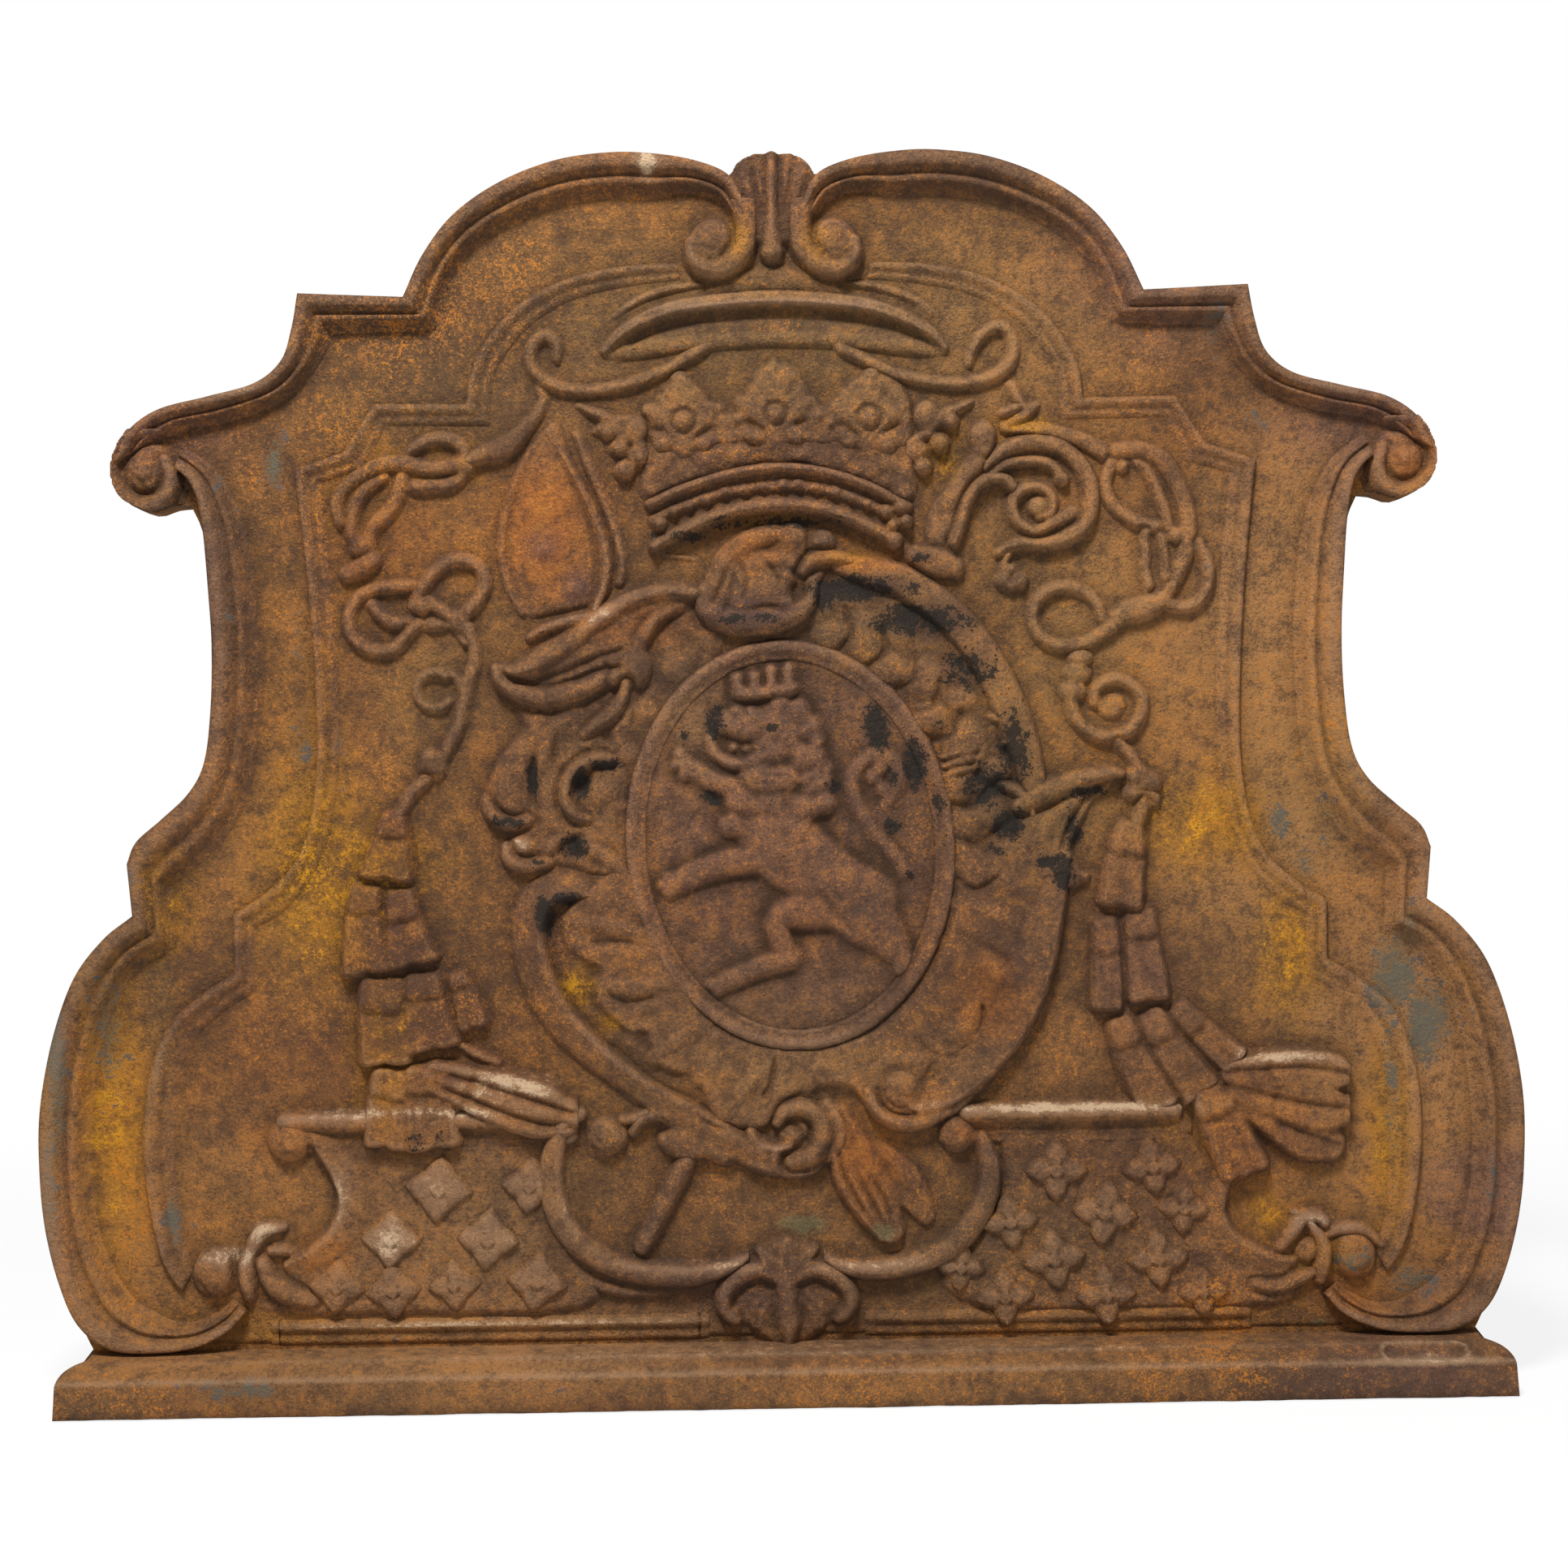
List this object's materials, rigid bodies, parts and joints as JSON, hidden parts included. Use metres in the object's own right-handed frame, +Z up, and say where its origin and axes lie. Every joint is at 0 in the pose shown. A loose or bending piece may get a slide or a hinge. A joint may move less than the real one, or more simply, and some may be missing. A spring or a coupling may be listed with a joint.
{
  "type": "fireback",
  "caption": "Cast-iron fireback: arched, scrolled plate on a deep foot, with a crowned lion on an oval medallion in a leafy cartouche under a coronet, mitre and tasselled hat.",
  "frame": {"origin": "bottom centre of the whole casting's box, on the hearth", "axes": "+X to the right as seen from the front, front faces -Y, +Z up"},
  "size_m": [0.9504, 0.062, 0.797],
  "materials": {
    "plate_iron": "rusted, matte",
    "moulding_iron": "rusted with worn edges, matte",
    "ornament_iron": "rusted with worn high spots, matte"
  },
  "bodies": {
    "root": {"backboard": "plate_iron", "foot": "plate_iron", "lower_fillet": "moulding_iron", "left_upper_rim": "moulding_iron", "right_upper_rim": "moulding_iron", "left_flank_rim": "moulding_iron", "right_flank_rim": "moulding_iron", "left_crest_volute": "moulding_iron", "right_crest_volute": "moulding_iron", "left_ear_volute": "moulding_iron", "right_ear_volute": "moulding_iron", "crest_shell": "ornament_iron", "left_inner_frame": "moulding_iron", "right_inner_frame": "moulding_iron", "left_foot_volute": "moulding_iron", "right_foot_volute": "moulding_iron", "hat_brim": "moulding_iron", "hat_crown": "ornament_iron", "left_hat_cord": "ornament_iron", "right_hat_cord": "ornament_iron", "left_cord_knots": "ornament_iron", "right_cord_knots": "ornament_iron", "left_cord_drop": "ornament_iron", "right_cord_drop": "ornament_iron", "left_tassel_rows": "ornament_iron", "left_lower_tassels": "ornament_iron", "right_tassel_rows": "ornament_iron", "right_lower_tassels": "ornament_iron", "coronet_band": "ornament_iron", "coronet_wall": "ornament_iron", "coronet_fleurons": "ornament_iron", "coronet_side_leaves": "ornament_iron", "mitre": "ornament_iron", "mitre_horn": "ornament_iron", "crosier_staff": "ornament_iron", "crosier_crook": "ornament_iron", "crosier_foot": "ornament_iron", "cartouche_crest_leaf": "ornament_iron", "cartouche_left_leafage": "ornament_iron", "cartouche_left_scroll": "ornament_iron", "cartouche_petals": "ornament_iron", "cartouche_right_band": "ornament_iron", "cartouche_right_scroll": "ornament_iron", "horn_leaf": "ornament_iron", "leaf_tassel": "ornament_iron", "medallion": "ornament_iron", "medallion_rim": "moulding_iron", "lion": "ornament_iron", "lion_crown": "ornament_iron", "left_rail": "moulding_iron", "right_rail": "moulding_iron", "left_bracket": "ornament_iron", "right_bracket": "ornament_iron", "left_lower_scroll": "ornament_iron", "right_lower_scroll": "ornament_iron", "pendant": "ornament_iron", "left_florets": "ornament_iron", "right_florets": "ornament_iron"}
  },
  "joints": []
}
